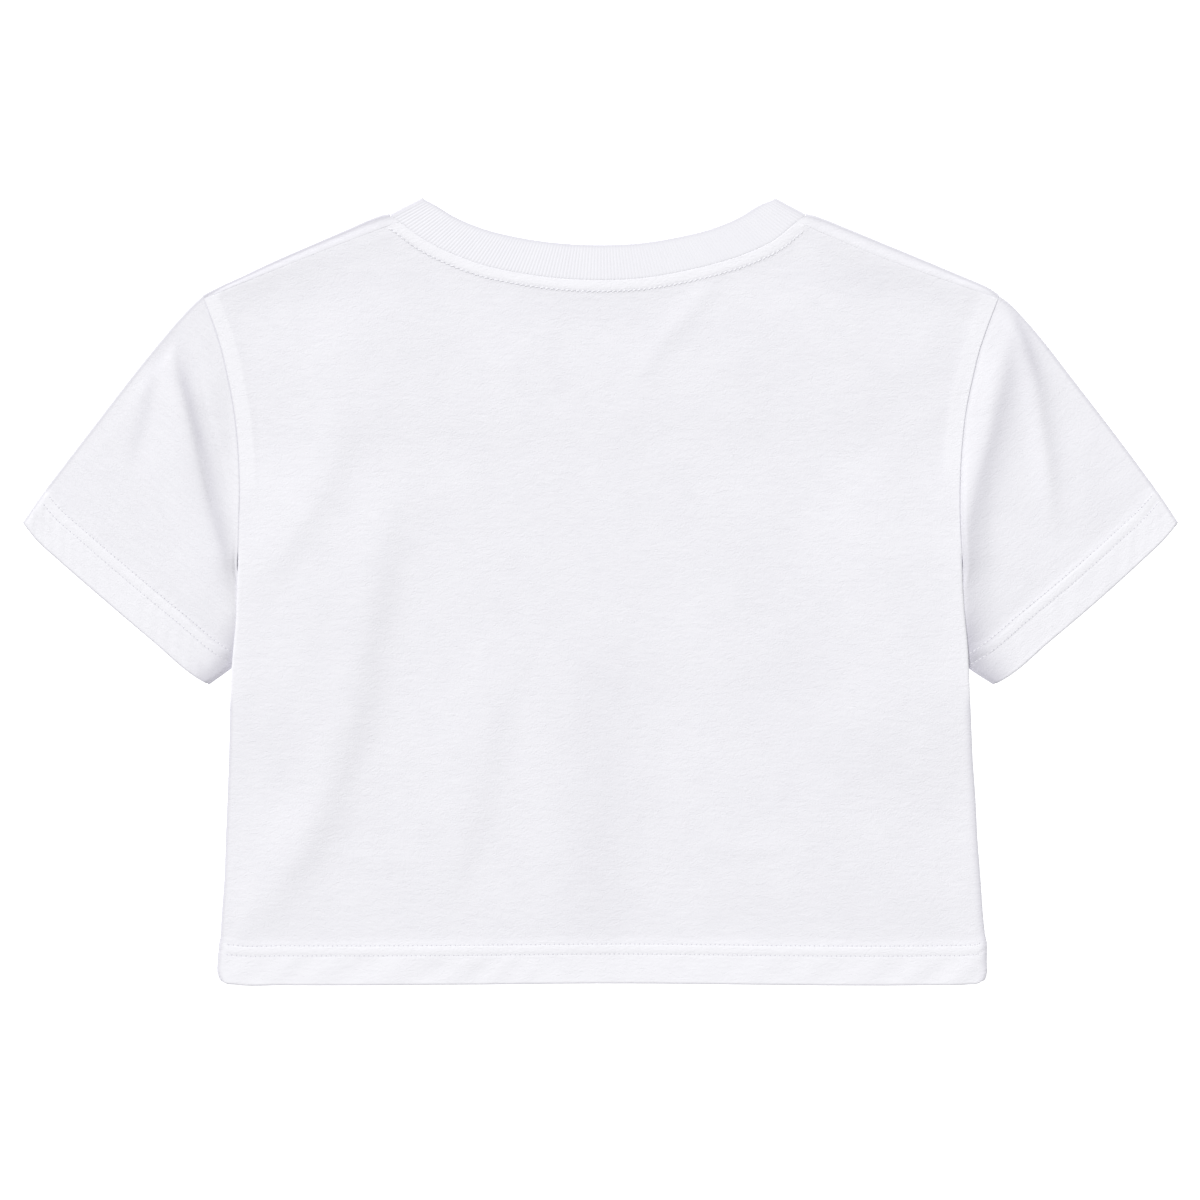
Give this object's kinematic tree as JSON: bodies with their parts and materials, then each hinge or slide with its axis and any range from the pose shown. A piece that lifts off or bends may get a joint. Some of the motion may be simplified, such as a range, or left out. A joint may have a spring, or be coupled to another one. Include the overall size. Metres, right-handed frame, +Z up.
{
  "type": "cropped short-sleeve t-shirt",
  "caption": "Boxy cropped T-shirt laid flat, back up: crew rib neckband, short sleeves, twin-stitched turned hems, soft folds.",
  "frame": {"origin": "on the surface the garment lies on, in the middle of its outline's bounding box", "axes": "+X across the garment from one cuff to the other, +Y from the hem towards the neck, +Z up, out of the back panel"},
  "size_m": [0.7344, 0.5006, 0.0068],
  "materials": {
    "jersey": "white cotton jersey, matte, faint horizontal slub",
    "rib": "white cotton rib, matte"
  },
  "bodies": {
    "root": {"back": "jersey", "front": "jersey", "sleeve_left": "jersey", "sleeve_right": "jersey", "neckband": "rib"}
  },
  "joints": []
}
